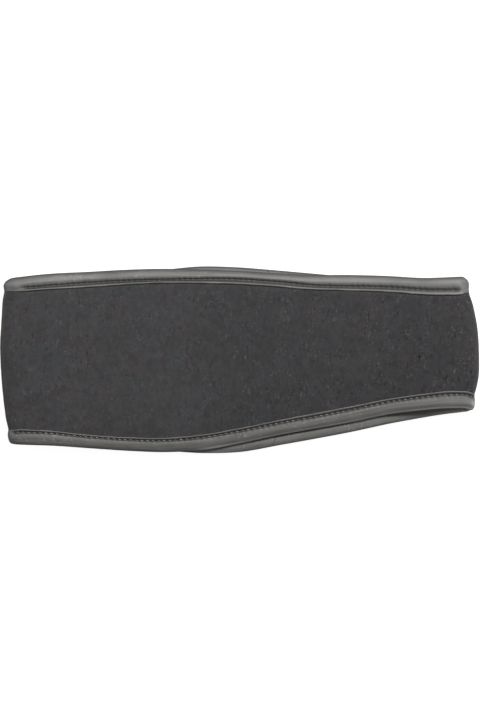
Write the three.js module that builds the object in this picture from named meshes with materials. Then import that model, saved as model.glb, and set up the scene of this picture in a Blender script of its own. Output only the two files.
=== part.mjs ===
import * as THREE from 'three';

// A fleece headband with bound edges, laid flat on its side. Millimetres.
// X runs along the laid loop, Y across the band from its lower to its upper edge, Z up.
// The origin is the middle of the underside.

// The laid loop: its folds spring open, and between them the upper layer sags onto the lower
const LENGTH = 250;
const FOLD_DEPTH = 7.5;
const HEIGHT_AT_FOLDS = 12;
const HEIGHT_IN_MIDDLE = 7.2;
const SAG_HALF_LENGTH = 70;
const SAG_END = 114;

// Across the band the upper layer bends down toward both edges and swells a little between them
const BEND_WIDTH = 12;
const BEND_DROP = 1.8;
const BULGE_BESIDE_FOLDS = 1.2;
const BULGE_IN_MIDDLE = 0.9;
const BULGE_BLEND = 24;

// The upper layer's lower edge nests inside the lower layer's where that one reaches further out
const NEST_DEPTH = 0.7;
const NEST_START = 2;
const NEST_FULL = 4.5;
const NEST_BLEND = 30;

// The binding, a tape folded over each edge. Its face is a rounded bead, a stitched groove and
// a thin lip, and the part between the rim and the lip is drawn out more in some places.
const TAPE_WIDTH = 7.6;
const TAPE_THICKNESS = 3.6;
const TAPE_WALL = 1.2;
const GROOVE_START = 5;
const GROOVE_FLOOR = [5.3, 5.9];
const GROOVE_DEPTH = 0.85;
const LIP = [6.5, 7];
const LIP_DROP = 0.5;
const LIP_EDGE_DROP = 0.9;
const GAP = 0.3;
const DRAWN_OUT = [1.5, 5];

// Each bead is three arcs: a tight rim, a broad back and a shoulder. Tilts are in degrees.
const TOP_BEAD = { rimRadius: 1.1, outerTilt: 48, innerTilt: 4, shoulderRadius: 1.35 };
const BOTTOM_BEAD = { rimRadius: 1, outerTilt: 38, innerTilt: 12, shoulderRadius: 0.8 };
const SHOULDER_TILT = 66;

// The fleece
const FLEECE_THICKNESS = 2.4;
const GRIPPED_THICKNESS = TAPE_THICKNESS - 2 * (TAPE_WALL + GAP);
const FLEECE_DIP = 0.5;
const FLEECE_RISE = 4.5;

// Where the four edges lie across the width, for places along the length
const EDGES = [
  { along: -125, upperTop: 41.3, upperBottom: -43.8, lowerTop: 41.3, lowerBottom: -43.8 },
  { along: -121.5, upperTop: 42.5, upperBottom: -44.1, lowerTop: 42.5, lowerBottom: -44.1 },
  { along: -116, upperTop: 43.2, upperBottom: -44.3, lowerTop: 43.2, lowerBottom: -44.2 },
  { along: -100, upperTop: 44.9, upperBottom: -44.9, lowerTop: 44.3, lowerBottom: -44.6 },
  { along: -80, upperTop: 46.0, upperBottom: -46.4, lowerTop: 45.5, lowerBottom: -45.6 },
  { along: -60, upperTop: 47.1, upperBottom: -47.7, lowerTop: 46.6, lowerBottom: -46.8 },
  { along: -40, upperTop: 47.6, upperBottom: -48.3, lowerTop: 47.3, lowerBottom: -47.9 },
  { along: -20, upperTop: 47.3, upperBottom: -47.1, lowerTop: 49.0, lowerBottom: -49.0 },
  { along: 0, upperTop: 46.6, upperBottom: -43.7, lowerTop: 48.6, lowerBottom: -48.3 },
  { along: 20, upperTop: 45.4, upperBottom: -39.6, lowerTop: 47.1, lowerBottom: -44.9 },
  { along: 40, upperTop: 44.4, upperBottom: -36.1, lowerTop: 45.4, lowerBottom: -41.4 },
  { along: 60, upperTop: 44.4, upperBottom: -32.6, lowerTop: 43.7, lowerBottom: -37.7 },
  { along: 80, upperTop: 43.9, upperBottom: -28.5, lowerTop: 42.8, lowerBottom: -33.5 },
  { along: 100, upperTop: 42.7, upperBottom: -26.0, lowerTop: 42.3, lowerBottom: -30.0 },
  { along: 110, upperTop: 42.9, upperBottom: -25.3, lowerTop: 42.5, lowerBottom: -28.5 },
  { along: 120, upperTop: 43.3, upperBottom: -25.3, lowerTop: 43.0, lowerBottom: -27.4 },
  { along: 122.5, upperTop: 43.3, upperBottom: -25.6, lowerTop: 43.1, lowerBottom: -27.3 },
  { along: 125, upperTop: 42.3, upperBottom: -26.4, lowerTop: 42.3, lowerBottom: -26.4 },
];

// How much more of the tape shows than usual along the upper and the lower edge
const TAPE_EXTRA = [
  { along: -125, atTop: -1.4, atBottom: 0.5 },
  { along: -121, atTop: -0.1, atBottom: 0.6 },
  { along: -117, atTop: 0.5, atBottom: 1.1 },
  { along: -100, atTop: 1.1, atBottom: 0.8 },
  { along: -80, atTop: 0.9, atBottom: 0.0 },
  { along: -60, atTop: 0.7, atBottom: 0.1 },
  { along: -40, atTop: 0.3, atBottom: 0.5 },
  { along: -20, atTop: 0.1, atBottom: 1.1 },
  { along: 20, atTop: -0.1, atBottom: 1.0 },
  { along: 40, atTop: 0.5, atBottom: 1.2 },
  { along: 60, atTop: 1.0, atBottom: 1.5 },
  { along: 80, atTop: 1.2, atBottom: 1.2 },
  { along: 100, atTop: 1.6, atBottom: 1.6 },
  { along: 112, atTop: 2.1, atBottom: 2.0 },
  { along: 120, atTop: 2.1, atBottom: 1.8 },
  { along: 125, atTop: 0.4, atBottom: 1.4 },
];

// How far each fold falls short of the full length, from the lower edge (0) to the upper edge (1)
const FOLDS = [
  { rise: 0, left: 4.2, right: 2.15 },
  { rise: 0.1, left: 3.45, right: 1.9 },
  { rise: 0.15, left: 2.8, right: 1.2 },
  { rise: 0.2, left: 2.4, right: 0.65 },
  { rise: 0.27, left: 1.7, right: 0.05 },
  { rise: 0.4, left: 0.7, right: 0 },
  { rise: 0.6, left: 0, right: 0.7 },
  { rise: 0.8, left: 0.87, right: 3.0 },
  { rise: 0.86, left: 1.0, right: 4.05 },
  { rise: 0.9, left: 1.15, right: 4.6 },
  { rise: 0.93, left: 1.4, right: 5.1 },
  { rise: 1, left: 1.7, right: 5.2 },
];

// How finely the loop is faceted
const LAYER_STEPS = 30;
const FOLD_STEPS = 10;
const FLEECE_SHARES = [0.16, 0.33, 0.6, 0.82];
const RIM_STEPS = 2;
const BACK_STEPS = 2;

const { clamp, degToRad, lerp, smoothstep } = THREE.MathUtils;

// One column of a table, on a smooth curve through its rows
function lookUp(rows, key, column, place) {
  const last = rows.length - 1;
  const at = clamp(place, rows[0][key], rows[last][key]);
  let row = 0;
  while (row < last - 1 && at > rows[row + 1][key]) {
    row += 1;
  }
  const slopeAt = (index) => {
    const before = rows[Math.max(index - 1, 0)];
    const after = rows[Math.min(index + 1, last)];
    return (after[column] - before[column]) / (after[key] - before[key]);
  };
  const start = rows[row];
  const end = rows[row + 1];
  const span = end[key] - start[key];
  const t = (at - start[key]) / span;
  const step = t * t * (3 - 2 * t);
  const leave = t * (1 - t) * (1 - t) * span * slopeAt(row);
  const arrive = t * t * (t - 1) * span * slopeAt(row + 1);
  return lerp(start[column], end[column], step) + leave + arrive;
}

// Stations round the loop. Travel goes from the left fold (-1) to the right one (1), and angle
// turns from the lower layer (-90 degrees) over the right fold to the upper layer and back.
function loopStations() {
  const quarter = Math.PI / 2;
  const stations = [];
  for (let i = 0; i < LAYER_STEPS; i += 1) {
    stations.push({ travel: lerp(-1, 1, i / LAYER_STEPS), angle: -quarter });
  }
  for (let i = 0; i < FOLD_STEPS; i += 1) {
    stations.push({ travel: 1, angle: lerp(-quarter, quarter, i / FOLD_STEPS) });
  }
  for (let i = 0; i < LAYER_STEPS; i += 1) {
    stations.push({ travel: lerp(1, -1, i / LAYER_STEPS), angle: quarter });
  }
  for (let i = 0; i < FOLD_STEPS; i += 1) {
    stations.push({ travel: -1, angle: lerp(quarter, 3 * quarter, i / FOLD_STEPS) });
  }
  return stations;
}

// The height of the upper layer's skin. Inset is how far its lower edge lies inside the lower
// layer's.
function skinHeight(along, fromBottom, fromTop, inset) {
  const opened = smoothstep(Math.abs(along), SAG_HALF_LENGTH, SAG_END);
  const fromEdge = Math.min(fromBottom, fromTop);
  const sunk = smoothstep(inset, NEST_START, NEST_FULL) * (1 - opened);
  const nested = NEST_DEPTH * sunk * (1 - smoothstep(fromBottom, 0, NEST_BLEND));
  const bend = 1 - clamp(fromEdge / BEND_WIDTH, 0, 1);
  const bulge = lerp(BULGE_IN_MIDDLE, BULGE_BESIDE_FOLDS, opened);
  const swell = bulge * smoothstep(fromEdge, TAPE_WIDTH, TAPE_WIDTH + BULGE_BLEND);
  const atEdge = lerp(HEIGHT_IN_MIDDLE, HEIGHT_AT_FOLDS, opened);
  return atEdge - nested + BEND_DROP * (1 - bend * bend) + swell;
}

// A point of the loop. Margin and share place it between the two edges, and depth is how far it
// lies under the loop's outer skin.
function pointInLoop({ travel, angle }, { margin, share, depth }) {
  const upward = (1 + Math.sin(angle)) / 2;
  const straightHalf = LENGTH / 2 - FOLD_DEPTH;
  const roughX = travel * straightHalf + FOLD_DEPTH * Math.cos(angle);
  const edge = (name) => lookUp(EDGES, 'along', name, roughX);
  const lowerBottom = edge('lowerBottom');
  const upperBottom = edge('upperBottom');
  const bottom = lerp(lowerBottom, upperBottom, upward);
  const top = lerp(edge('lowerTop'), edge('upperTop'), upward);
  const extra = (name) => lookUp(TAPE_EXTRA, 'along', name, roughX);
  const drawnOut = smoothstep(margin, ...DRAWN_OUT);
  const fromBottom = bottom + margin + drawnOut * extra('atBottom');
  const fromTop = top - margin - drawnOut * extra('atTop');
  const y = lerp(fromBottom, fromTop, share);
  const rise = (y - bottom) / (top - bottom);
  const left = -straightHalf + lookUp(FOLDS, 'rise', 'left', rise);
  const right = straightHalf - lookUp(FOLDS, 'rise', 'right', rise);
  const height = skinHeight(roughX, y - bottom, top - y, upperBottom - lowerBottom);
  const outward = new THREE.Vector2(Math.cos(angle) / FOLD_DEPTH, 2 * Math.sin(angle) / height);
  outward.normalize();
  const x = lerp(left, right, (travel + 1) / 2) + FOLD_DEPTH * Math.cos(angle);
  const z = height * upward;
  return new THREE.Vector3(x - outward.x * depth, y, z - outward.y * depth);
}

// A closed tube of one section, given as points of { margin, share, depth }, swept round the loop
function sweepRoundLoop(section) {
  const stations = loopStations();
  const positions = [];
  for (const station of stations) {
    for (const point of section) {
      positions.push(...pointInLoop(station, point).toArray());
    }
  }
  const index = [];
  const ringSize = section.length;
  for (let i = 0; i < stations.length; i += 1) {
    const ring = i * ringSize;
    const nextRing = ((i + 1) % stations.length) * ringSize;
    for (let j = 0; j < ringSize; j += 1) {
      const next = (j + 1) % ringSize;
      index.push(ring + j, nextRing + next, nextRing + j);
      index.push(ring + j, ring + next, nextRing + next);
    }
  }
  const geometry = new THREE.BufferGeometry();
  geometry.setAttribute('position', new THREE.Float32BufferAttribute(positions, 3));
  geometry.setIndex(index);
  geometry.computeVertexNormals();
  return geometry;
}

// The fleece: its edges are squeezed between the two walls of each tape, and it swells again
// over a short way beside them
function fleeceSection() {
  const middle = TAPE_THICKNESS / 2;
  const gripped = { outer: middle - GRIPPED_THICKNESS / 2, inner: middle + GRIPPED_THICKNESS / 2 };
  const pressed = { outer: FLEECE_DIP, inner: FLEECE_DIP + FLEECE_THICKNESS };
  const free = { outer: 0, inner: FLEECE_THICKNESS };
  const mouth = TAPE_WIDTH + GAP;
  const swollen = mouth + FLEECE_RISE;
  const edge = [
    { margin: TAPE_WALL + GAP, faces: gripped },
    { margin: mouth, faces: gripped },
    { margin: mouth + GAP, faces: pressed },
    { margin: swollen, faces: free },
  ];
  const steps = [
    ...edge.map((step) => ({ ...step, share: 0 })),
    ...FLEECE_SHARES.map((share) => ({ margin: swollen, faces: free, share })),
    ...edge.toReversed().map((step) => ({ ...step, share: 1 })),
  ];
  const outside = steps.map(({ margin, share, faces }) => ({ margin, share, depth: faces.outer }));
  const inside = steps.map(({ margin, share, faces }) => ({ margin, share, depth: faces.inner }));
  return [...outside, ...inside.toReversed()];
}

// The bead's face from its rim to the groove, as [distance from the edge, depth]
function beadFace({ rimRadius, outerTilt, innerTilt, shoulderRadius }) {
  const sin = (degrees) => Math.sin(degToRad(degrees));
  const cos = (degrees) => Math.cos(degToRad(degrees));
  const rimWidth = rimRadius * (1 - sin(outerTilt));
  const shoulderWidth = shoulderRadius * (sin(SHOULDER_TILT) - sin(innerTilt));
  const backWidth = GROOVE_START - rimWidth - shoulderWidth;
  const backRadius = backWidth / (sin(outerTilt) + sin(innerTilt));
  const crest = rimRadius * cos(outerTilt) + backRadius * (1 - cos(outerTilt));
  const arcs = [
    { radius: rimRadius, from: -90, to: -outerTilt, steps: RIM_STEPS },
    { radius: backRadius, from: -outerTilt, to: innerTilt, steps: BACK_STEPS },
    { radius: shoulderRadius, from: innerTilt, to: SHOULDER_TILT, steps: 1 },
  ];
  const face = [];
  let distance = 0;
  let height = 0;
  for (const { radius, from, to, steps } of arcs) {
    for (let i = 0; i < steps; i += 1) {
      const start = lerp(from, to, i / steps);
      const end = lerp(from, to, (i + 1) / steps);
      distance += radius * (sin(end) - sin(start));
      height += radius * (cos(end) - cos(start));
      face.push([distance, (TAPE_THICKNESS / 2) * (1 - height / crest)]);
    }
  }
  return face;
}

// The folded tape: lip, stitched groove and bead on one face, the same again on the other face,
// and the channel that holds the fleece
function bindingSection(share, bead) {
  const face = [
    [TAPE_WIDTH, TAPE_WALL],
    [TAPE_WIDTH, LIP_EDGE_DROP],
    [LIP[1], LIP_DROP],
    [LIP[0], LIP_DROP],
    [GROOVE_FLOOR[1], GROOVE_DEPTH],
    [GROOVE_FLOOR[0], GROOVE_DEPTH],
    ...beadFace(bead).reverse(),
  ];
  const backFace = face.map(([distance, depth]) => [distance, TAPE_THICKNESS - depth]).reverse();
  const outline = [
    ...face,
    [0, TAPE_THICKNESS / 2],
    ...backFace,
    [TAPE_WALL, TAPE_THICKNESS - TAPE_WALL],
    [TAPE_WALL, TAPE_WALL],
  ];
  return outline.map(([margin, depth]) => ({ margin, share, depth }));
}

const fleeceMaterial = new THREE.MeshStandardMaterial({ color: 0x434143, roughness: 0.95 });
const bindingMaterial = new THREE.MeshStandardMaterial({ color: 0x7a7876, roughness: 0.55 });

function piece(name, section, material) {
  const mesh = new THREE.Mesh(sweepRoundLoop(section), material);
  mesh.name = name;
  return mesh;
}

const headband = new THREE.Group();
headband.add(
  piece('fleece_band', fleeceSection(), fleeceMaterial),
  piece('top_binding', bindingSection(1, TOP_BEAD), bindingMaterial),
  piece('bottom_binding', bindingSection(0, BOTTOM_BEAD).reverse(), bindingMaterial),
);

export default headband;
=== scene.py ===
"""A charcoal fleece headband with bound edges, laid flat. Metres.

X runs along the laid loop, Y across the band from its lower to its upper edge, Z up. Every
piece is drawn flat, as cloth is cut, and is then wrapped round the loop by one function.
"""

import math
import random

import bmesh
import bpy
import numpy as np
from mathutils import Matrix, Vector, noise


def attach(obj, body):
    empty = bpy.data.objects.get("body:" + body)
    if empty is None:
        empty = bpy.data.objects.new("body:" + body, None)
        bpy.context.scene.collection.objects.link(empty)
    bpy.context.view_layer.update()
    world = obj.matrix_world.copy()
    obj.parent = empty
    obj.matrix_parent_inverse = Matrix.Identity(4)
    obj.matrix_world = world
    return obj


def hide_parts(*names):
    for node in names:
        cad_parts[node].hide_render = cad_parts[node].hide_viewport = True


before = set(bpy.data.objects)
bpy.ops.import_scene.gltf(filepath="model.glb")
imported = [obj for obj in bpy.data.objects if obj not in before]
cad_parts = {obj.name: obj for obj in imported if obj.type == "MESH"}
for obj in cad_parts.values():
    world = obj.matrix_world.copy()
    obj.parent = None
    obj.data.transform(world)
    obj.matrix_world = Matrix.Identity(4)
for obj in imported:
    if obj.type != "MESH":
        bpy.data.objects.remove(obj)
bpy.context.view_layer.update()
random.seed(7)

# The laid loop, the same sizes as the solids: its folds spring open, and between them the
# upper layer sags onto the lower. The band's width is a middling one, for its weave alone.
LENGTH = 0.250
HEIGHT_AT_FOLDS = 0.0120
HEIGHT_IN_MIDDLE = 0.0072
BAND_WIDTH = 0.080
SAG_HALF_LENGTH = 0.070
SAG_END = 0.114
FOLD_DEPTH = 0.0075
STRAIGHT_HALF = LENGTH / 2 - FOLD_DEPTH
FOLD_ARC = math.pi * (FOLD_DEPTH + HEIGHT_AT_FOLDS / 2) / 2
LOOP = 4 * STRAIGHT_HALF + 2 * FOLD_ARC

# Across the band the upper layer bends down toward both edges and swells a little between
# them, and its lower edge nests inside the lower layer's where that one reaches further out
BEND_WIDTH = 0.0120
BEND_DROP = 0.0018
BULGE_BESIDE_FOLDS = 0.0012
BULGE_IN_MIDDLE = 0.0009
BULGE_BLEND = 0.024
NEST_DEPTH = 0.0007
NEST_START = 0.0020
NEST_FULL = 0.0045
NEST_BLEND = 0.030

# Where the four edges lie across the width, for places along the length:
# along, upper layer's top and bottom edge, lower layer's top and bottom edge
UPPER_TOP, UPPER_BOTTOM, LOWER_TOP, LOWER_BOTTOM = 1, 2, 3, 4
EDGES = [
    (-0.1250, 0.0413, -0.0438, 0.0413, -0.0438),
    (-0.1215, 0.0425, -0.0441, 0.0425, -0.0441),
    (-0.1160, 0.0432, -0.0443, 0.0432, -0.0442),
    (-0.1000, 0.0449, -0.0449, 0.0443, -0.0446),
    (-0.0800, 0.0460, -0.0464, 0.0455, -0.0456),
    (-0.0600, 0.0471, -0.0477, 0.0466, -0.0468),
    (-0.0400, 0.0476, -0.0483, 0.0473, -0.0479),
    (-0.0200, 0.0473, -0.0471, 0.0490, -0.0490),
    (0.0000, 0.0466, -0.0437, 0.0486, -0.0483),
    (0.0200, 0.0454, -0.0396, 0.0471, -0.0449),
    (0.0400, 0.0444, -0.0361, 0.0454, -0.0414),
    (0.0600, 0.0444, -0.0326, 0.0437, -0.0377),
    (0.0800, 0.0439, -0.0285, 0.0428, -0.0335),
    (0.1000, 0.0427, -0.0260, 0.0423, -0.0300),
    (0.1100, 0.0429, -0.0253, 0.0425, -0.0285),
    (0.1200, 0.0433, -0.0253, 0.0430, -0.0274),
    (0.1225, 0.0433, -0.0256, 0.0431, -0.0273),
    (0.1250, 0.0423, -0.0264, 0.0423, -0.0264),
]

# How much more of the tape shows than usual: along, on the upper edge, on the lower edge
AT_TOP, AT_BOTTOM = 1, 2
TAPE_EXTRA = [
    (-0.125, -0.0014, 0.0005),
    (-0.121, -0.0001, 0.0006),
    (-0.117, 0.0005, 0.0011),
    (-0.100, 0.0011, 0.0008),
    (-0.080, 0.0009, 0.0000),
    (-0.060, 0.0007, 0.0001),
    (-0.040, 0.0003, 0.0005),
    (-0.020, 0.0001, 0.0011),
    (0.020, -0.0001, 0.0010),
    (0.040, 0.0005, 0.0012),
    (0.060, 0.0010, 0.0015),
    (0.080, 0.0012, 0.0012),
    (0.100, 0.0016, 0.0016),
    (0.112, 0.0021, 0.0020),
    (0.120, 0.0021, 0.0018),
    (0.125, 0.0004, 0.0014),
]

# How far each fold falls short of the full length, from the lower edge (0) to the upper (1):
# rise, left fold, right fold
LEFT_FOLD, RIGHT_FOLD = 1, 2
FOLDS = [
    (0.00, 0.00420, 0.00215),
    (0.10, 0.00345, 0.00190),
    (0.15, 0.00280, 0.00120),
    (0.20, 0.00240, 0.00065),
    (0.27, 0.00170, 0.00005),
    (0.40, 0.00070, 0.00000),
    (0.60, 0.00000, 0.00070),
    (0.80, 0.00087, 0.00300),
    (0.86, 0.00100, 0.00405),
    (0.90, 0.00115, 0.00460),
    (0.93, 0.00140, 0.00510),
    (1.00, 0.00170, 0.00520),
]

# Binding: a folded tape with a round bead at the edge, whose inner shoulder falls into a
# stitched groove, and a thin lip beyond the groove. In some places more of it shows, and then
# it is drawn out between these distances from the edge.
TAPE_WIDTH = 0.0076
TAPE_THICKNESS = 0.0036
TAPE_WALL = 0.0015
DRAWN_OUT = (0.0015, 0.0050)
CHANNEL = 0.0012
GROOVE_START = 0.0049
GROOVE_PLACE = 0.0054
GROOVE_END = 0.0064
LIP_PLACE = 0.0068
LIP_DROP = 0.00052
# From the shoulder to the tape's cut edge: distance from the bound edge, depth under the skin
GROOVE_AND_LIP = [
    (0.00504, 0.00118),
    (0.00522, 0.00127),
    (0.00542, 0.00130),
    (0.00562, 0.00128),
    (0.00580, 0.00121),
    (0.00596, 0.00109),
    (0.00611, 0.00095),
    (0.00625, 0.00081),
    (0.00639, 0.00068),
    (0.00654, 0.00058),
    (0.00670, LIP_DROP),
    (0.00686, LIP_DROP),
    (0.00700, 0.00058),
    (0.00712, 0.00072),
    (0.00720, 0.00092),
    (0.00726, 0.00115),
    (TAPE_WIDTH, 0.00135),
    (TAPE_WIDTH, TAPE_WALL),
]

# Each bead is three arcs: a tight rim, a broad back and a shoulder. Each arc's steps come first,
# the tilts are in degrees, and a tilt away from the bound edge counts as positive.
TOP_BEAD = {"rim_radius": 0.0011, "outer_tilt": 48, "inner_tilt": 4, "shoulder_radius": 0.0020}
BOTTOM_BEAD = {"rim_radius": 0.0010, "outer_tilt": 38, "inner_tilt": 12, "shoulder_radius": 0.0012}
SHOULDER_TILT = 66
RIM_STEPS, BACK_STEPS, SHOULDER_STEPS = 5, 9, 5

# Fleece: distance from the edge and depth of its outer face beside the tape, from the cut edge
# that the tape grips to where it lies free. Its lumps are height, size and seed.
FLEECE_THICKNESS = 0.0024
GRIPPED_THICKNESS = 0.0004
GRIPPED_DEPTH = (TAPE_THICKNESS - GRIPPED_THICKNESS) / 2
FLEECE_EDGE = [
    (0.00160, GRIPPED_DEPTH),
    (0.00450, GRIPPED_DEPTH),
    (0.00764, GRIPPED_DEPTH),
    (0.00774, 0.00130),
    (0.00788, 0.00098),
    (0.00812, 0.00072),
    (0.00850, 0.00056),
    (0.00920, 0.00045),
    (0.01020, 0.00036),
    (0.01160, 0.00025),
    (0.01370, 0.00012),
    (0.01640, 0.00003),
    (0.01900, 0.00000),
]
FLEECE_LUMPS = [(0.00015, 0.0300, 3), (0.00005, 0.0045, 1), (0.00004, 0.0020, 2)]
FLEECE_STEPS_ROUND = 540
FLEECE_STEPS_ACROSS = 72

# Along the lower edge and round the folds the fleece is pressed up against the lip. It lies
# free where it is less deep than this.
FREE_DEPTH = 0.00140
PRESSED_DEPTH = 0.00060
PRESSED_SHIFT = 0.00048
PRESSED_END = (0.0078, 0.0105)

# How far the groove lies off its usual place: along, in the top and in the bottom binding. Only
# the points from the bead's crest to the lip move.
IN_TOP, IN_BOTTOM = 1, 2
GROOVE_MOVES = [
    (-0.125, 0.00000, 0.00000),
    (-0.100, 0.00000, 0.00010),
    (-0.073, -0.00030, 0.00040),
    (-0.055, 0.00000, 0.00025),
    (-0.042, 0.00025, 0.00010),
    (-0.025, -0.00010, 0.00000),
    (-0.010, -0.00060, 0.00000),
    (0.020, -0.00060, -0.00020),
    (0.052, -0.00020, -0.00040),
    (0.083, -0.00060, -0.00010),
    (0.107, -0.00060, -0.00030),
    (0.125, -0.00060, -0.00030),
]
MOVED_FROM = (0.0025, 0.0045)
MOVED_TO = (0.0054, 0.0068)

# Stitches: how many there are, how far the bead bulges toward the groove between them, how
# hard the lightest of them pulls, and the thread of one, whose ends dip into the holes. From
# stitch to stitch the thread wobbles across the groove and sinks into it.
STITCH_PITCH = 0.0030
STITCHES_ROUND = round(LOOP / STITCH_PITCH)
STEPS_PER_STITCH = 7
SCALLOP = 0.00018
LIGHTEST_PULL = 0.2
THREAD_LENGTH = 0.0015
THREAD_WIDTH = 0.00055
THREAD_HEIGHT = 0.00045
THREAD_DIP = 0.00075
THREAD_WOBBLE = 0.00012
THREAD_SINK = 0.00020

# The closing seam, across the lower layer, and the fleece's valley there
SEAM_X = 0.0177
SEAM_DEPTH = 0.0006
SEAM_SPREAD = 0.0007
SEAM_WAY = (SEAM_X / STRAIGHT_HALF + 1) * STRAIGHT_HALF / LOOP

# Near the folds the cloth is stretched, and the groove and the slit beside the lip close: how
# far from the left and the right fold's middle that is full, and where it ends
FLEECE_CLOSED = ((0.0095, 0.0150), (0.0085, 0.0110))
FILLED_FROM = (0.0040, 0.0068)

# The binding's relief: how much of it the inner face has, how deep the stitches pull the groove
# and the shoulder in, the bead's lumps as height, size and seed, how far the bead and the lip
# wander, and over what lengths
INNER_FACE_RELIEF = 0.4
PUCKER_DEPTH = 0.00016
PUCKERED_PLACE = GROOVE_START - 0.0002
GROOVE_SPREAD = 0.00045
SHOULDER_SPREAD = 0.00060
LUMPS_END = (GROOVE_START - 0.0010, GROOVE_START)
BEAD_LUMPS = [(0.00014, 0.0120, 0), (0.00006, 0.0045, 1)]
BEAD_WANDER, BEAD_WANDER_LENGTH = 0.0005, 0.0450
BEAD_PLACE, BEAD_SPREAD = 0.0030, 0.0012
LIP_WANDER, LIP_WANDER_LENGTH = 0.00022, 0.0070

# A crease along some stretches of the bead, with painted shade in it, and the welt and the
# slit of the closing seam, which runs slanted across the tape, with painted shade in the slit
CREASE_PLACE, CREASE_SPREAD = 0.0028, 0.0003
CREASE_WANDER, CREASE_WANDER_LENGTH = 0.0010, 0.0300
CREASE_STRETCHES = (0.1, 0.5)
CREASE_DEPTH, CREASE_PAINTED_SHADE = 0.00010, 0.20
SEAM_SLANT = 0.4
SEAM_CROSSING = 0.003
WELT_PLACE, WELT_SPREAD, WELT_HEIGHT = 0.0007, 0.0005, 0.00014
SLIT_SPREAD, SLIT_DEPTH = 0.00035, 0.00045
# painted shade in the seam's slit
SLIT_SHADE_SPREAD, SLIT_PAINTED_SHADE = 0.00030, 0.5

# The narrow ridge that a crease sets off along the lower rim of the upper layer: between which
# places along the headband it starts, the crease's distance from the rim, its spread and depth
RIDGE_START = (-0.030, -0.010)
RIDGE_WIDTH = 0.0016
RIDGE_SPREAD = 0.00045
RIDGE_DEPTH = 0.00012

# Tones of the tape, all painted: painted shade up to 1 for the darkest and painted light down
# to -1 for the palest. Ranges are from where a tone starts to where it is full, and marks are
# strength, distance from the bound edge and spread.
NARROW_END = (0.070, 0.100)
GROOVE_SHADE = (0.0038, 0.0053)
GROOVE_SHADE_END = 0.0064
GROOVE_SHADE_FADE = 0.0003
CLOSED_GROOVE_PALER = 0.95
LIP_SPREAD = 0.0004
# painted highlight on the top bead's back, fading out between these places toward the right end
TOP_BEAD_HIGHLIGHT = (-0.13, 0.0031, 0.0013)
TOP_BEAD_HIGHLIGHT_ENDS = (0.085, 0.105)
# painted highlight along the upper layer's lower ridge, stronger at the narrow end
PAINTED_RIDGE_HIGHLIGHT = (-0.55, 0.00062, 0.00032)
PAINTED_RIDGE_HIGHLIGHT_AT_NARROW_END = (-1, 0.00045, 0.00042)
# painted shade in the ridge's crease
RIDGE_CREASE_SHADE = (0.20, RIDGE_WIDTH, RIDGE_SPREAD)
# painted highlight on the bottom bead's back at the narrow end
BOTTOM_BEAD_HIGHLIGHT = (-0.12, 0.0030, 0.0010)
# painted light on the lower layer's strip near the right fold, where the upper layer shades it
LOWER_STRIP_PAINTED_LIGHT = -0.6
LOWER_STRIP_START = (0.088, 0.110)
LOWER_STRIP_ENDS = (0.0009, 0.0022)
# painted highlight on the bottom bead's right end
END_BEAD_HIGHLIGHT = (-0.8, 0.0028, 0.0016)
END_BEAD_HIGHLIGHT_START = (0.1195, 0.1225)

# Where the two layers' lower edges part: how much the rim's painted shade lessens there, with
# its place along the headband and its spread, the painted light on the lower layer's strip,
# and the painted shadow under the upper rim
PARTING_RIM = (0.8, -0.017, 0.009)
PARTING_STRIP_PLACE, PARTING_STRIP_SPREAD = -0.013, 0.010
PARTING_STRIP_LIGHT = (-0.60, 0, 0.0012)
UNDER_RIM_PLACE, UNDER_RIM_SPREAD = 0.021, 0.015
UNDER_RIM_PAINTED_SHADOW, UNDER_RIM_WIDTH = 0.5, 0.0006

# What sets each binding's look apart: which way its groove moves, its ridge, its painted shade
# and light, how much wider the lip gets at the narrow end, its thread and the thread's painted
# shade, and where its groove closes
TOP_LOOK = {
    "moves": IN_TOP,
    "ridge": 0,
    "rim_painted_shade": 0.70,
    "rim_width": 0.00100,
    "widened_lip": 0.0004,
    "groove_painted_shade": 1.0,
    "thread_place": 0.0056,
    "thread_depth": 0.00115,
    "thread_painted_shade": 0.60,
    "lip_painted_light_and_shade": -0.10,
    "closing": ((0.0110, 0.0170), (0.0075, 0.0105)),
}
BOTTOM_LOOK = {
    "moves": IN_BOTTOM,
    "ridge": RIDGE_DEPTH,
    "rim_painted_shade": 0.55,
    "rim_width": 0.00065,
    "widened_lip": 0,
    "groove_painted_shade": 0.88,
    "thread_place": 0.00555,
    "thread_depth": 0.00085,
    "thread_painted_shade": 0,
    "lip_painted_light_and_shade": 0.05,
    "closing": ((0.0050, 0.0080), (0.0010, 0.0040)),
}

# Cloth colours
FLEECE_GREY = (0.0660, 0.0635, 0.0665, 1)
FLEECE_WARM = (0.0700, 0.0645, 0.0670, 1)
FLEECE_COOL = (0.0615, 0.0645, 0.0675, 1)
FLEECE_DARK = (0.0180, 0.0175, 0.0185, 1)
# the pills' painted shade and, next, their painted highlights
FLEECE_PILL_SHADE = (0.0060, 0.0058, 0.0062, 1)
FLEECE_PILL_HIGHLIGHT = (0.1700, 0.1660, 0.1730, 1)
TAPE_GREY = (0.142, 0.139, 0.134, 1)
TAPE_DARK = (0.112, 0.109, 0.104, 1)
TAPE_PALE = (0.200, 0.196, 0.189, 1)
# pale flecks, and the colour of the tone's painted highlights
TAPE_FLECK_AND_HIGHLIGHT = (0.460, 0.452, 0.436, 1)
TAPE_SHADED = (0.028, 0.0265, 0.025, 1)
THREAD_GREY = (0.120, 0.118, 0.114, 1)
THREAD_PALE = (0.32, 0.312, 0.297, 1)

# The Mix node's sockets for colours, which share their names with its other sockets
MIX_SHARE, MIX_FIRST, MIX_SECOND, MIX_RESULT = 0, 6, 7, 2


def lerp(a, b, t):
    return a + (b - a) * t


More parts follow.
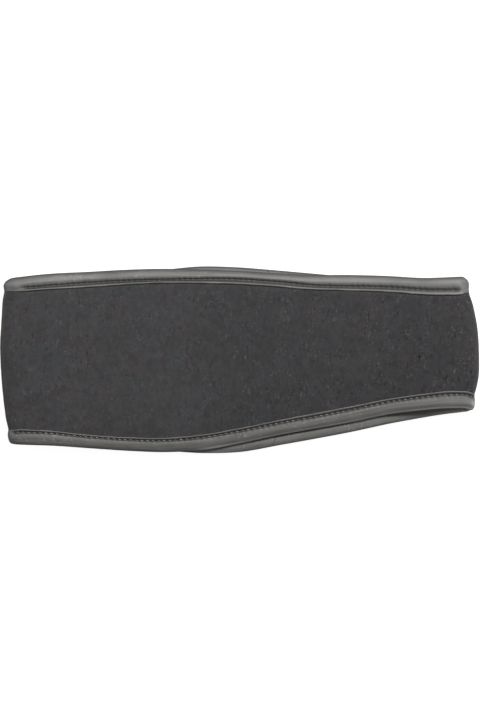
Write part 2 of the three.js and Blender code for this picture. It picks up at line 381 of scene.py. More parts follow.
def smoothstep(x, start, end):
    t = np.clip((x - start) / (end - start), 0, 1)
    return t * t * (3 - 2 * t)


def hump(x, middle, spread):
    return np.exp(-(((x - middle) / spread) ** 2))


def look_up(rows, column, place):
    """A column of a table at places between its rows, on a smooth curve through them."""
    table = np.array(rows)
    keys, values = table[:, 0], table[:, column]
    last = len(rows) - 1
    index = np.arange(last + 1)
    before, after = np.maximum(index - 1, 0), np.minimum(index + 1, last)
    slopes = (values[after] - values[before]) / (keys[after] - keys[before])
    at = np.clip(place, keys[0], keys[-1])
    row = np.clip(np.searchsorted(keys, at, side="left") - 1, 0, last - 1)
    span = keys[row + 1] - keys[row]
    t = (at - keys[row]) / span
    step = t * t * (3 - 2 * t)
    leave = t * (1 - t) ** 2 * span * slopes[row]
    arrive = t * t * (t - 1) * span * slopes[row + 1]
    return lerp(values[row], values[row + 1], step) + leave + arrive


def skin_height(along, from_bottom, from_top, inset):
    """The height of the upper layer's skin. Inset is how far its lower edge lies inside the
    lower layer's."""
    opened = smoothstep(np.abs(along), SAG_HALF_LENGTH, SAG_END)
    from_edge = np.minimum(from_bottom, from_top)
    nested = NEST_DEPTH * smoothstep(inset, NEST_START, NEST_FULL) * (1 - opened)
    nested *= 1 - smoothstep(from_bottom, 0, NEST_BLEND)
    bend = 1 - np.clip(from_edge / BEND_WIDTH, 0, 1)
    swell = lerp(BULGE_IN_MIDDLE, BULGE_BESIDE_FOLDS, opened)
    swell = swell * smoothstep(from_edge, TAPE_WIDTH, TAPE_WIDTH + BULGE_BLEND)
    at_edge = lerp(HEIGHT_IN_MIDDLE, HEIGHT_AT_FOLDS, opened)
    return at_edge - nested + BEND_DROP * (1 - bend**2) + swell


def wrap(way, margin, share, depth):
    """Points of the loop. way goes once round it from 0 to 1, margin and share place a point
    between the two edges, and depth is how far it lies under the loop's outer skin."""
    layer = 2 * STRAIGHT_HALF / LOOP
    corners = [0, layer, 0.5, 0.5 + layer, 1]
    travel = np.interp(way, corners, [-1, 1, 1, -1, -1])
    quarter = math.pi / 2
    angle = np.interp(way, corners, [-quarter, -quarter, quarter, quarter, 3 * quarter])
    upward = (1 + np.sin(angle)) / 2
    rough_x = travel * STRAIGHT_HALF + FOLD_DEPTH * np.cos(angle)
    lower_bottom = look_up(EDGES, LOWER_BOTTOM, rough_x)
    upper_bottom = look_up(EDGES, UPPER_BOTTOM, rough_x)
    bottom = lerp(lower_bottom, upper_bottom, upward)
    top = lerp(look_up(EDGES, LOWER_TOP, rough_x), look_up(EDGES, UPPER_TOP, rough_x), upward)
    drawn_out = smoothstep(margin, *DRAWN_OUT)
    from_bottom = bottom + margin + drawn_out * look_up(TAPE_EXTRA, AT_BOTTOM, rough_x)
    from_top = top - margin - drawn_out * look_up(TAPE_EXTRA, AT_TOP, rough_x)
    y = lerp(from_bottom, from_top, share)
    rise = (y - bottom) / (top - bottom)
    left = -STRAIGHT_HALF + look_up(FOLDS, LEFT_FOLD, rise)
    right = STRAIGHT_HALF - look_up(FOLDS, RIGHT_FOLD, rise)
    height = skin_height(rough_x, y - bottom, top - y, upper_bottom - lower_bottom)
    out_x, out_z = np.cos(angle) / FOLD_DEPTH, 2 * np.sin(angle) / height
    size = np.hypot(out_x, out_z)
    x = lerp(left, right, (travel + 1) / 2) + FOLD_DEPTH * np.cos(angle) - depth * out_x / size
    z = height * upward - depth * out_z / size
    return np.column_stack((x, y, np.maximum(z, 0)))


def stretched(way, at_left, at_right):
    """How far the cloth is stretched round the folds: 1 at a fold's middle, 0 away from it.
    For each fold there is a distance up to which it is full, and one where it ends."""
    half_fold = FOLD_ARC / 2
    from_left = np.minimum(np.abs(way * LOOP + half_fold), np.abs(way * LOOP - LOOP + half_fold))
    from_right = np.abs(way * LOOP - 2 * STRAIGHT_HALF - half_fold)
    left, right = smoothstep(from_left, *at_left), smoothstep(from_right, *at_right)
    return 1 - np.minimum(left, right)


def grain(points, scale, seed):
    """Smooth noise from -1 to 1 at each point, with lumps of about that size."""
    shift = Vector((seed * 3.1, seed * 1.7, seed * 2.3))
    return np.array([noise.noise(Vector(p) / scale + shift) for p in points])


def lumps(points, kinds, seed=0):
    """Noises added up: the height, the size and the seed of each kind."""
    return sum(height * grain(points, size, seed + own) for height, size, own in kinds)


def make_object(name, mesh, material):
    made = bpy.data.objects.new(name, mesh)
    bpy.context.scene.collection.objects.link(made)
    made.data.materials.append(material)
    mesh.polygons.foreach_set("use_smooth", [True] * len(mesh.polygons))
    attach(made, "root")
    return made


def weld(mesh):
    """Joins the ends of a flat piece that now meet, and turns its faces outward."""
    bm = bmesh.new()
    bm.from_mesh(mesh)
    bmesh.ops.remove_doubles(bm, verts=bm.verts, dist=1e-7)
    bmesh.ops.recalc_face_normals(bm, faces=bm.faces)
    bm.to_mesh(mesh)
    bm.free()


def sweep(name, steps_round, section, relief):
    """A closed tube of one section round the loop. The section is rows of margin, share and
    depth. Relief takes the way, the row and the plain points, and gives each point's shift
    across the band, its height over the plain surface and its tone, which is painted light and
    shade: 1 is the darkest painted shade and -1 the palest painted light that the cloth gets
    there."""
    rows = np.array(section)
    columns = len(rows)
    bm = bmesh.new()
    bmesh.ops.create_grid(bm, x_segments=steps_round, y_segments=columns, size=0.5)
    mesh = bpy.data.meshes.new(name)
    bm.to_mesh(mesh)
    bm.free()
    flat = np.empty(len(mesh.vertices) * 3)
    mesh.vertices.foreach_get("co", flat)
    way, round_section = flat.reshape(-1, 3)[:, 0] + 0.5, flat.reshape(-1, 3)[:, 1] + 0.5
    row = np.rint(round_section * columns).astype(int) % columns
    margin, share, depth = rows[row].T
    plain = wrap(way, margin, share, depth)
    shift, height, tone = relief(way, row, plain)
    points = wrap(way, margin + shift, share, depth - height)
    mesh.vertices.foreach_set("co", points.ravel())
    # the painted light and shade, kept on the points for the materials
    mesh.attributes.new("tone", "FLOAT", "POINT").data.foreach_set("value", tone)
    add_uv(mesh, way, round_section, rows)
    weld(mesh)
    return mesh


def add_uv(mesh, way, round_section, rows):
    """A UV map in metres: along the loop, and across the cloth's own surface."""
    corner = np.empty(len(mesh.loops), int)
    mesh.loops.foreach_get("vertex_index", corner)
    share, margin = rows[:, 1], rows[:, 0]
    band = np.where(share > 0, BAND_WIDTH * share - margin, margin)
    closed = np.column_stack((band, rows[:, 2]))
    closed = np.vstack((closed, closed[:1]))
    lengths = np.hypot(*np.diff(closed, axis=0).T)
    arc = np.concatenate(([0], np.cumsum(lengths)))
    across = np.interp(round_section * len(rows), np.arange(len(arc)), arc)
    uv = np.column_stack((way * LOOP, across))[corner]
    mesh.uv_layers.new(name="cloth").data.foreach_set("uv", uv.ravel())


def fleece_section():
    """The fleece from its lower to its upper edge on the outside, and back on the inside."""
    free_margin = FLEECE_EDGE[-1][0]
    shares = np.linspace(0, 1, FLEECE_STEPS_ACROSS)[1:-1]
    outside = [(margin, 0, depth) for margin, depth in FLEECE_EDGE]
    outside += [(free_margin, share, 0) for share in shares]
    outside += [(margin, 1, depth) for margin, depth in reversed(FLEECE_EDGE)]
    swollen = FLEECE_THICKNESS - GRIPPED_THICKNESS
    inside = []
    for margin, share, depth in outside[::2] + outside[-1:]:
        thickness = GRIPPED_THICKNESS + swollen * (1 - depth / GRIPPED_DEPTH)
        inside.append((margin, share, depth + thickness))
    return outside + inside[::-1]


def fleece_relief(section):
    """Soft lumps of the nap, the shallow valley of the closing seam, and the fleece pressed
    against the lip."""
    rows = np.array(section)

    def relief(way, row, plain):
        margin, share, depth = rows[row].T
        outside = (depth < FREE_DEPTH) & (margin > TAPE_WIDTH)
        tight = np.maximum(stretched(way, *FLEECE_CLOSED), share < 0.5) * outside
        pressed = tight * np.maximum(depth - PRESSED_DEPTH, 0)
        shift = -PRESSED_SHIFT * tight * (1 - smoothstep(margin, *PRESSED_END))
        from_seam = np.abs(way - SEAM_WAY) * LOOP
        height = lumps(plain, FLEECE_LUMPS) + pressed
        height -= SEAM_DEPTH * hump(from_seam, 0, SEAM_SPREAD)
        return shift, height, np.zeros(len(way))

    return relief


def bead_face(rim_radius, outer_tilt, inner_tilt, shoulder_radius):
    """The bead from its rim to the groove: distance from the edge and depth."""
    outer, inner, last = np.radians((outer_tilt, inner_tilt, SHOULDER_TILT))
    rim_width = rim_radius * (1 - math.sin(outer))
    shoulder_width = shoulder_radius * (math.sin(last) - math.sin(inner))
    back_width = GROOVE_START - rim_width - shoulder_width
    back_radius = back_width / (math.sin(outer) + math.sin(inner))
    crest = rim_radius * math.cos(outer) + back_radius * (1 - math.cos(outer))
    arcs = [
        (RIM_STEPS, rim_radius, -math.pi / 2, -outer),
        (BACK_STEPS, back_radius, -outer, inner),
        (SHOULDER_STEPS, shoulder_radius, inner, last),
    ]
    distance, height = 0, 0
    face = [(0, TAPE_THICKNESS / 2)]
    for steps, radius, start, end in arcs:
        tilts = np.linspace(start, end, steps + 1)
        for tilt, following in zip(tilts[:-1], tilts[1:]):
            distance += radius * (math.sin(following) - math.sin(tilt))
            height += radius * (math.cos(following) - math.cos(tilt))
            face.append((distance, TAPE_THICKNESS / 2 * (1 - height / crest)))
    return face


def binding_section(share, bead):
    """The folded tape: bead, stitched groove and lip on one face, the same on the other."""
    face = bead_face(**bead) + GROOVE_AND_LIP
    back = [(distance, TAPE_THICKNESS - depth) for distance, depth in face]
    channel = [(CHANNEL, TAPE_WALL), (CHANNEL, TAPE_THICKNESS - TAPE_WALL)]
    outline = face + channel + back[:0:-1]
    return [(distance, share, depth) for distance, depth in outline]


def mark(along, strength, place, spread):
    """A mark of that strength at its place, which fades over its spread to both sides."""
    return strength * hump(along, place, spread)


def groove_painted_shade(distance, x, closed, look):
    """Painted shade in the groove, narrower where the lip is wider and paler where it is closed.
    """
    end = GROOVE_SHADE_END - look["widened_lip"] * smoothstep(x, *NARROW_END)
    shade = smoothstep(distance, *GROOVE_SHADE)
    shade *= 1 - smoothstep(distance, end - GROOVE_SHADE_FADE, end + GROOVE_SHADE_FADE)
    return look["groove_painted_shade"] * shade * (1 - CLOSED_GROOVE_PALER * closed)


def lower_edge_tone(distance, x, upper, rim):
    """Painted light and shade on the bottom tape's rim and bead: a painted highlight on the upper
    layer's ridge and painted shade in its crease, painted light on the lower layer's strip that
    shows beyond them, and a painted shadow under the upper rim."""
    narrow_end = smoothstep(x, *NARROW_END)
    along_ridge = smoothstep(x, *RIDGE_START) * upper
    narrow = narrow_end * along_ridge
    # painted highlight along the ridge, with painted shade in its crease
    wear_and_highlight = [lerp(*pair, narrow) for pair in zip(PAINTED_RIDGE_HIGHLIGHT, PAINTED_RIDGE_HIGHLIGHT_AT_NARROW_END)]
    ridge = mark(distance, *wear_and_highlight) + mark(distance, *RIDGE_CREASE_SHADE)
    ridge *= along_ridge
    # painted highlight on the bead's back at the narrow end
    back = mark(distance, *BOTTOM_BEAD_HIGHLIGHT) * narrow
    # less painted shade on the rim along the ridge, where the layers part and at the narrow end
    rim = rim * (1 - along_ridge) * (1 - mark(x, *PARTING_RIM))
    rim *= 1 - narrow_end * (1 - upper)
    inset = look_up(EDGES, UPPER_BOTTOM, x) - look_up(EDGES, LOWER_BOTTOM, x)
    # painted shadow on the lower layer's tape beneath the upper layer's rim
    under_rim_shadow = mark(distance, UNDER_RIM_PAINTED_SHADOW, inset, UNDER_RIM_WIDTH) * (1 - upper)
    under_rim_shadow *= hump(x, UNDER_RIM_PLACE, UNDER_RIM_SPREAD)
    # painted light on the lower layer's strip near the right fold
    strip = LOWER_STRIP_PAINTED_LIGHT * smoothstep(x, *LOWER_STRIP_START) * (1 - upper)
    strip *= 1 - smoothstep(distance, *LOWER_STRIP_ENDS)
    # painted light on the lower layer's tape where the layers part
    parting = mark(distance, *PARTING_STRIP_LIGHT) * hump(x, PARTING_STRIP_PLACE, PARTING_STRIP_SPREAD)
    # painted highlight on the bead's right end
    end_bead_highlight = mark(distance, *END_BEAD_HIGHLIGHT) * smoothstep(x, *END_BEAD_HIGHLIGHT_START)
    return rim + ridge + back + under_rim_shadow + strip + parting + end_bead_highlight


def binding_tone(distance, x, upper, closed, look):
    """Painted shade (up to 1) and painted light (down to -1) on the tape: painted shade in the
    groove and at the rim, and painted highlights on the beads."""
    # painted shade along the bead's outer rim, where it turns away from the light
    rim = mark(distance, look["rim_painted_shade"], 0, look["rim_width"])
    if look["ridge"]:
        edge = lower_edge_tone(distance, x, upper, rim)
    else:
        # the top bead: painted shade at its rim and a painted highlight on its back
        ends = smoothstep(x, *TOP_BEAD_HIGHLIGHT_ENDS)
        edge = rim + mark(distance, *TOP_BEAD_HIGHLIGHT) * (1 - ends)
    # painted highlight on the top lip and painted shade on the bottom lip
    lip = mark(distance, look["lip_painted_light_and_shade"], LIP_PLACE, LIP_SPREAD) * (1 - closed)
    return groove_painted_shade(distance, x, closed, look) + edge + lip


def stitch_pull(way, seed):
    """How hard the stitches pull the tape in: most at each hole, and not all as hard."""
    strength = np.random.default_rng(seed).uniform(LIGHTEST_PULL, 1, STITCHES_ROUND)
    stitch = np.rint(way * STITCHES_ROUND).astype(int) % STITCHES_ROUND
    at_hole = (0.5 + 0.5 * np.cos(2 * math.pi * way * STITCHES_ROUND)) ** 2
    return at_hole * strength[stitch]


def closing_seam(way, distance):
    """The welt and the slit where the tape's two ends meet: their height, and painted shade in the
    slit.
    """
    from_seam = (way - SEAM_WAY) * LOOP - SEAM_SLANT * (distance - SEAM_CROSSING)
    welt = WELT_HEIGHT * hump(from_seam, WELT_PLACE, WELT_SPREAD)
    slit = SLIT_DEPTH * hump(from_seam, 0, SLIT_SPREAD)
    return welt - slit, SLIT_PAINTED_SHADE * hump(from_seam, 0, SLIT_SHADE_SPREAD)


def long_crease(distance, plain, wander, seed):
    """How far each point lies in the crease that some stretches of the bead have."""
    place = CREASE_PLACE + CREASE_WANDER * grain(plain, CREASE_WANDER_LENGTH, seed + 4)
    return hump(distance, place, CREASE_SPREAD) * smoothstep(wander, *CREASE_STRETCHES)


def binding_relief(section, seed, look):
    """Puckers at the stitches, lumps and creases on the bead, a wavy lip and the closing
    seam."""
    rows = np.array(section)
    count = len(section)
    face_length = (count - 1) // 2

    def relief(way, row, plain):
        distance, depth = rows[row, 0], rows[row, 2]
        in_channel = (row == face_length) | (row == face_length + 1)
        outer_face = depth < TAPE_THICKNESS / 2
        outward = np.where(outer_face, 1.0, -INNER_FACE_RELIEF) * ~in_channel
        x, upper = plain[:, 0], plain[:, 2] > TAPE_THICKNESS
        closed = stretched(way, *look["closing"])
        pull = stitch_pull(way, seed)
        at_groove = hump(distance, GROOVE_PLACE, GROOVE_SPREAD)
        at_shoulder = hump(distance, PUCKERED_PLACE, SHOULDER_SPREAD)
        at_bead = 1 - smoothstep(distance, *LUMPS_END)
        at_lip = smoothstep(distance, GROOVE_END, LIP_PLACE)
        wander = grain(plain, BEAD_WANDER_LENGTH, seed + 3)
        crease = long_crease(distance, plain, wander, seed)
        along_ridge = smoothstep(x, *RIDGE_START) * upper
        height = lumps(plain, BEAD_LUMPS, seed) * at_bead - CREASE_DEPTH * crease
        height -= pull * PUCKER_DEPTH * (at_groove + at_shoulder)
        height -= look["ridge"] * hump(distance, RIDGE_WIDTH, RIDGE_SPREAD) * along_ridge
        in_groove = (distance > BEAD_PLACE) & (distance < LIP_PLACE)
        level = LIP_DROP * smoothstep(distance, *FILLED_FROM)
        filled = np.maximum(np.minimum(depth, TAPE_THICKNESS - depth) - level, 0)
        height = lerp(height, filled * in_groove, closed)
        moved = smoothstep(distance, *MOVED_FROM) * (1 - smoothstep(distance, *MOVED_TO))
        lip_wander = LIP_WANDER * grain(plain, LIP_WANDER_LENGTH, seed + 2)
        shift = look_up(GROOVE_MOVES, look["moves"], x) * moved
        shift += BEAD_WANDER * wander * hump(distance, BEAD_PLACE, BEAD_SPREAD)
        shift += (SCALLOP * (1 - pull) * at_shoulder + lip_wander * at_lip) * (1 - closed)
        seam_height, seam_painted_shade = closing_seam(way, distance)
        height += seam_height
        tone = binding_tone(distance, x, upper, closed, look)
        # painted shade in the crease and in the seam's slit
        tone += CREASE_PAINTED_SHADE * crease + seam_painted_shade
        return shift * ~in_channel, height * outward, tone

    return relief


class Shade:
    """A socket in a material. Arithmetic on it adds Math nodes to the same material."""

    def __init__(self, tree, socket=None):
        self.tree = tree
        self.socket = socket

    def node(self, kind, settings=None, inputs=None, output=0):
        """Adds a node: its settings come first, then the values or links of its sockets."""
        made = self.tree.nodes.new("ShaderNode" + kind)
        for name, value in (settings or {}).items():
            if name == "stops":
                self.set_stops(made.color_ramp, value)
            else:
                setattr(made, name, value)
        for name, value in (inputs or {}).items():
            if isinstance(value, Shade):
                self.tree.links.new(value.socket, made.inputs[name])
            else:
                made.inputs[name].default_value = value
        return Shade(self.tree, made.outputs[output])

    @staticmethod
    def set_stops(ramp, stops):
        while len(ramp.elements) < len(stops):
            ramp.elements.new(0.5)
        for element, (place, level) in zip(ramp.elements, stops):
            element.position = place
            element.color = (level, level, level, 1)

    def math(self, operation, *others):
        inputs = {0: self, **{i + 1: other for i, other in enumerate(others)}}
        return self.node("Math", {"operation": operation}, inputs)

    def __add__(self, other):
        return self.math("ADD", other)

    __radd__ = __add__

    def __mul__(self, other):
        return self.math("MULTIPLY", other)

    __rmul__ = __mul__


def new_material(name):
    made = bpy.data.materials.new(name)
    made.use_nodes = True
    tree = made.node_tree
    return made, Shade(tree), tree.nodes["Principled BSDF"].inputs, tree


def connect(tree, shade, socket):
    tree.links.new(shade.socket, socket)


def scaled_noise(shade, coordinates, scale, stretch=(1, 1, 1), detail=2.0, roughness=0.5):
    """Noise from 0 to 1 with lumps of about 1 / scale metres, stretched along the axes."""
    placed = shade.node("Mapping", None, {"Vector": coordinates, "Scale": stretch})
    inputs = {"Vector": placed, "Scale": scale, "Detail": detail, "Roughness": roughness}
    return shade.node("TexNoise", None, inputs)


def mix_colours(shade, share, first, second):
    inputs = {MIX_SHARE: share, MIX_FIRST: first, MIX_SECOND: second}
    return shade.node("Mix", {"data_type": "RGBA"}, inputs, output=MIX_RESULT)


def ramp(shade, value, *stops):
    return shade.node("ValToRGB", {"stops": stops}, {0: value})


def pilled(shade, base, specks, dashes, patches):
    """Pale specks and streaks, and dark pits and slits, where the fleece is pilled: the pills'
    painted highlights and painted shade.
    """
    pale = ramp(shade, specks, (0.69, 0), (0.78, 1)) * patches
    pits = ramp(shade, specks, (0.20, 1), (0.31, 0)) * patches
    streaks = ramp(shade, dashes, (0.71, 0), (0.79, 1)) * patches
    slits = ramp(shade, dashes, (0.21, 1), (0.30, 0)) * patches
    base = mix_colours(shade, pale * 0.34 + streaks * 0.28, base, FLEECE_PILL_HIGHLIGHT)
    return mix_colours(shade, pits * 0.54 + slits * 0.50, base, FLEECE_PILL_SHADE)


def fleece_material():
    """Brushed charcoal fleece: faint warm and cool patches, a mottle, a fine nap, darker toward
    the right end, and sparse pilled specks and short dashes, painted highlights and painted shade
    of the pills, that crowd toward the narrow end."""
    made, shade, surface, tree = new_material("charcoal_fleece")
    place = shade.node("TexCoord", output="Object")
    along = shade.node("SeparateXYZ", None, {0: place}) * 4 + 0.5
    wear_and_highlight = ramp(shade, along, (0.35, 0.60), (0.80, 0.80), (0.92, 1.0))
    warm = scaled_noise(shade, place, 95, detail=1)
    cool = scaled_noise(shade, place, 80, stretch=(1, 1.2, 1), detail=1)
    base = mix_colours(shade, ramp(shade, warm, (0.46, 0), (0.64, 0.8)), FLEECE_GREY, FLEECE_WARM)
    base = mix_colours(shade, ramp(shade, cool, (0.50, 0), (0.66, 0.8)), base, FLEECE_COOL)
    clouds = scaled_noise(shade, place, 170, detail=1)
    base = mix_colours(shade, ramp(shade, clouds, (0.30, 0.20), (0.62, 0)), base, FLEECE_DARK)
    mottle = scaled_noise(shade, place, 420, stretch=(1, 0.7, 1), detail=2)
    base = mix_colours(shade, ramp(shade, mottle, (0.30, 0.26), (0.55, 0)), base, FLEECE_DARK)
    nap = scaled_noise(shade, place, 1500, detail=3, roughness=0.6)
    base = mix_colours(shade, ramp(shade, nap, (0.30, 0.22), (0.60, 0)), base, FLEECE_DARK)
    # darker toward the right end
    darker_toward_right = ramp(shade, along, (0.38, 0), (0.50, 0.16), (0.95, 0.20))
    base = mix_colours(shade, darker_toward_right, base, FLEECE_DARK)
    patches = ramp(shade, scaled_noise(shade, place, 90, detail=1), (0.38, 0.2), (0.56, 1))
    specks = scaled_noise(shade, place, 820, detail=0)
    dashes = scaled_noise(shade, place, 900, stretch=(1, 0.3, 1), detail=0)
    base = pilled(shade, base, specks, dashes, patches * wear_and_highlight)
    connect(tree, base, surface["Base Color"])
    height = nap * 0.4 + specks * 0.3 + dashes * 0.2
    bump = shade.node("Bump", None, {"Strength": 0.35, "Distance": 0.00015, "Height": height})
    connect(tree, bump, surface["Normal"])
    surface["Roughness"].default_value = 0.95
    surface["Specular IOR Level"].default_value = 0.10
    surface["Sheen Weight"].default_value = 0.30
    surface["Sheen Roughness"].default_value = 0.45
    return made


def binding_material():
    """Warm grey knitted tape with a satin sheen: streaks along it, fine ribs and small blotches,
    paler toward the right end as a painted highlight, and the painted light and shade of its
    tone, which is darkest in the groove."""
    made, shade, surface, tree = new_material("stretch_tape")
    place = shade.node("TexCoord", output="Object")
    cloth = shade.node("UVMap", {"uv_map": "cloth"})
    tone = shade.node("Attribute", {"attribute_name": "tone"}, output="Fac")
    along = shade.node("SeparateXYZ", None, {0: place}) * 4 + 0.5
    blotch = scaled_noise(shade, place, 140, detail=3)
    streaks = scaled_noise(shade, cloth, 60, stretch=(1, 22, 1), detail=2)
    fine = scaled_noise(shade, place, 1700, detail=2)
    flecks = scaled_noise(shade, place, 900, stretch=(1, 0.6, 1), detail=0)
    clusters = ramp(shade, scaled_noise(shade, place, 45, detail=1), (0.50, 0), (0.60, 1))
    ribs = shade.node(
        "TexWave",
        {"wave_type": "BANDS", "bands_direction": "Y"},
        {"Vector": cloth, "Scale": 320, "Distortion": 0.6, "Detail": 1.0},
    )
    base = mix_colours(shade, ramp(shade, blotch, (0.35, 0), (0.65, 1)), TAPE_DARK, TAPE_GREY)
    base = mix_colours(shade, ramp(shade, streaks, (0.42, 0), (0.72, 0.7)), base, TAPE_PALE)
    base = mix_colours(shade, ramp(shade, fine, (0.60, 0), (0.80, 0.6)), base, TAPE_PALE)
    # paler toward the right end: a painted highlight where the light from the upper right falls
    base = mix_colours(shade, ramp(shade, along, (0.50, 0), (0.95, 0.40)), base, TAPE_PALE)
    flecked = ramp(shade, flecks, (0.64, 0), (0.75, 0.30)) * clusters
    base = mix_colours(shade, flecked, base, TAPE_FLECK_AND_HIGHLIGHT)
    # the tone paints highlights toward the pale colour and shade toward the dark one
    base = mix_colours(shade, tone * -1.0, base, TAPE_FLECK_AND_HIGHLIGHT)
    base = mix_colours(shade, tone, base, TAPE_SHADED)
    connect(tree, base, surface["Base Color"])
    height = ribs * 0.5 + fine * 0.6 + streaks * 0.5
    bump = shade.node("Bump", None, {"Strength": 0.3, "Distance": 0.00012, "Height": height})
    connect(tree, bump, surface["Normal"])
    surface["Roughness"].default_value = 0.58
    surface["Specular IOR Level"].default_value = 0.75
    return made


def thread_material():
    """Grey thread, some of its stitches paler than the tape, and those on top darkened by painted
    shade.
    """
    made, shade, surface, tree = new_material("sewing_thread")
    place = shade.node("TexCoord", output="Object")
    picked = ramp(shade, scaled_noise(shade, place, 300, detail=1), (0.38, 0.2), (0.58, 1))
    base = mix_colours(shade, picked, THREAD_GREY, THREAD_PALE)
    tone = shade.node("Attribute", {"attribute_name": "tone"}, output="Fac")
    base = mix_colours(shade, tone, base, TAPE_SHADED)
    connect(tree, base, surface["Base Color"])
    surface["Roughness"].default_value = 0.45
    return made


def single_stitch(name):
    """One stitch with its ends dipping down, along X."""
    bm = bmesh.new()
    bmesh.ops.create_uvsphere(bm, u_segments=8, v_segments=6, radius=0.5)
    for vertex in bm.verts:
        x, y, z = vertex.co
        dip = THREAD_DIP * (2 * z) ** 2
        vertex.co = (z * THREAD_LENGTH, y * THREAD_WIDTH, x * THREAD_HEIGHT - dip)
    mesh = bpy.data.meshes.new(name)
    bm.to_mesh(mesh)
    bm.free()
    return mesh


def repeat_round(name, mesh):
    """The stitch repeated in a straight row as long as the loop."""
    single = bpy.data.objects.new(name + "_single", mesh)
    bpy.context.scene.collection.objects.link(single)
    repeat = single.modifiers.new("repeat", "ARRAY")
    repeat.use_relative_offset = False
    repeat.use_constant_offset = True
    repeat.constant_offset_displace = (LOOP / STITCHES_ROUND, 0, 0)
    repeat.count = STITCHES_ROUND
    view = bpy.context.evaluated_depsgraph_get()
    row = bpy.data.meshes.new_from_object(single.evaluated_get(view))
    bpy.data.objects.remove(single)
    return row


def stitch_row(name, share, look, material):
    """Lockstitches in the groove of one binding, on both faces: each dips into its holes."""
    stitch = single_stitch(name)
    row = repeat_round(name, stitch)
    flat = np.empty(len(row.vertices) * 3)
    row.vertices.foreach_get("co", flat)
    flat = flat.reshape(-1, 3)
    number = np.arange(len(flat)) // len(stitch.vertices)
    wobble = np.array([random.uniform(-1, 1) for _ in range(STITCHES_ROUND)])[number]
    sunk = np.array([random.uniform(0, 1) for _ in range(STITCHES_ROUND)])[number]
    way = (flat[:, 0] / LOOP + 0.5 / STITCHES_ROUND) % 1.0
    in_groove = np.full(len(flat), look["thread_place"])
    x = wrap(way, in_groove, share, np.zeros(len(flat)))[:, 0]
    margin = in_groove + look_up(GROOVE_MOVES, look["moves"], x)
    margin += flat[:, 1] + wobble * THREAD_WOBBLE
    depth = look["thread_depth"] + sunk * THREAD_SINK - flat[:, 2]
    outer = wrap(way, margin, share, depth)
    inner = wrap(way, margin, share, TAPE_THICKNESS - depth)
    back = row.copy()
    row.vertices.foreach_set("co", outer.ravel())
    back.vertices.foreach_set("co", inner.ravel())
    bm = bmesh.new()
    bm.from_mesh(row)
    bm.from_mesh(back)
    bmesh.ops.recalc_face_normals(bm, faces=bm.faces)
    bm.to_mesh(row)
    bm.free()
    row.name = name
    # painted shade on the top binding's threads
    tones = row.attributes.new("tone", "FLOAT", "POINT").data
    tones.foreach_set("value", [look["thread_painted_shade"]] * len(row.vertices))
    return make_object(name, row, material)


def make_headband():
    fleece = fleece_material()
    tape = binding_material()
    thread = thread_material()
    section = fleece_section()
    mesh = sweep("fleece_cloth", FLEECE_STEPS_ROUND, section, fleece_relief(section))
    band = make_object("fleece_cloth", mesh, fleece)
    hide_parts("fleece_band")
    pieces = []
    for name, node, share, bead, seed, look in (
        ("top_tape", "top_binding", 1, TOP_BEAD, 11, TOP_LOOK),
        ("bottom_tape", "bottom_binding", 0, BOTTOM_BEAD, 21, BOTTOM_LOOK),
    ):
        section = binding_section(share, bead)
        steps = STEPS_PER_STITCH * STITCHES_ROUND
        mesh = sweep(name, steps, section, binding_relief(section, seed, look))
        binding = make_object(name, mesh, tape)
        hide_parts(node)
        stitches = stitch_row(name.replace("tape", "stitches"), share, look, thread)
        pieces += [binding, stitches]


def make_plane(name, height):
    bm = bmesh.new()
    bmesh.ops.create_grid(bm, x_segments=1, y_segments=1, size=4.0)
    mesh = bpy.data.meshes.new(name)
    bm.to_mesh(mesh)
    bm.free()
    made = bpy.data.objects.new(name, mesh)
    bpy.context.scene.collection.objects.link(made)
    made.location.z = height
    return made


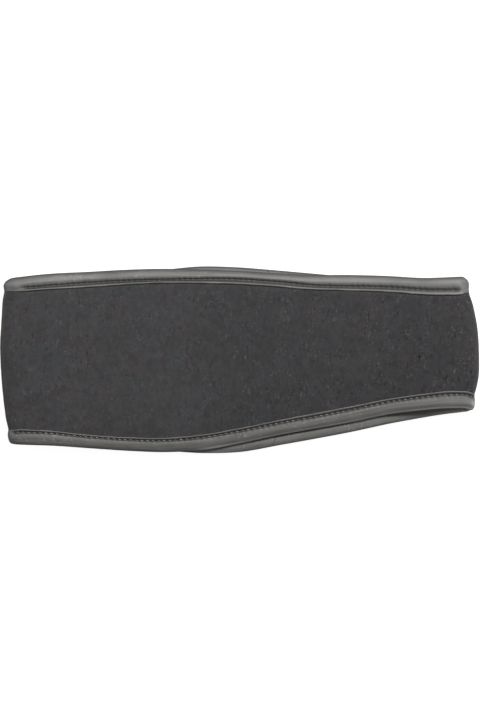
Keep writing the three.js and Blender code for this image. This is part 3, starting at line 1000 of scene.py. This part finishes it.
def make_floor():
    """A pale floor that is lit from below like a light table, and a grey table under it that
    throws only a little light back onto the cloth."""
    floor = make_plane("floor", -0.0001)
    made, _, surface, _ = new_material("pale_floor")
    surface["Base Color"].default_value = (0.35, 0.35, 0.35, 1)
    surface["Roughness"].default_value = 0.9
    surface["Specular IOR Level"].default_value = 0.0
    surface["Emission Color"].default_value = (1, 1, 1, 1)
    surface["Emission Strength"].default_value = 0.93
    floor.data.materials.append(made)
    floor.visible_diffuse = False
    floor.visible_glossy = False
    floor.visible_shadow = False
    table = make_plane("table", -0.0003)
    made, _, surface, _ = new_material("grey_table")
    surface["Base Color"].default_value = (0.3, 0.3, 0.3, 1)
    surface["Roughness"].default_value = 0.9
    table.data.materials.append(made)
    table.visible_camera = False


def add_light(name, place, size, power):
    lamp = bpy.data.lights.new(name, "AREA")
    lamp.shape = "DISK"
    lamp.size = size
    lamp.energy = power
    made = bpy.data.objects.new(name, lamp)
    bpy.context.scene.collection.objects.link(made)
    made.location = place
    made.rotation_euler = (-Vector(place)).to_track_quat("-Z", "Y").to_euler()


def make_studio():
    scene = bpy.context.scene
    scene.view_settings.view_transform = "Standard"
    world = bpy.data.worlds.new("studio")
    world.use_nodes = True
    world.node_tree.nodes["Background"].inputs["Color"].default_value = (1, 1, 1, 1)
    world.node_tree.nodes["Background"].inputs["Strength"].default_value = 0.16
    scene.world = world
    add_light("softbox", (0.68, 1.03, 1.55), 0.7, 37)
    add_light("fill", (-1.60, 0.10, 0.50), 0.6, 4.5)
    add_light("side", (1.40, -0.20, 0.35), 0.4, 1.5)


def make_camera():
    """Straight above, with a long lens: the photograph's 480 by 720 frame is 250 mm wide."""
    pixel = 0.0005213
    frame_height = 720 * pixel
    focal, sensor = 100.0, 36.0
    at_height = 0.009
    right, up = 0.33 * pixel, -0.2 * pixel
    camera = bpy.data.cameras.new("camera")
    camera.lens = focal
    camera.sensor_width = sensor
    camera.clip_start = 0.05
    made = bpy.data.objects.new("camera", camera)
    bpy.context.scene.collection.objects.link(made)
    made.location = (right, up, at_height + frame_height * focal / sensor)
    bpy.context.scene.camera = made


make_camera()
make_headband()
make_floor()
make_studio()
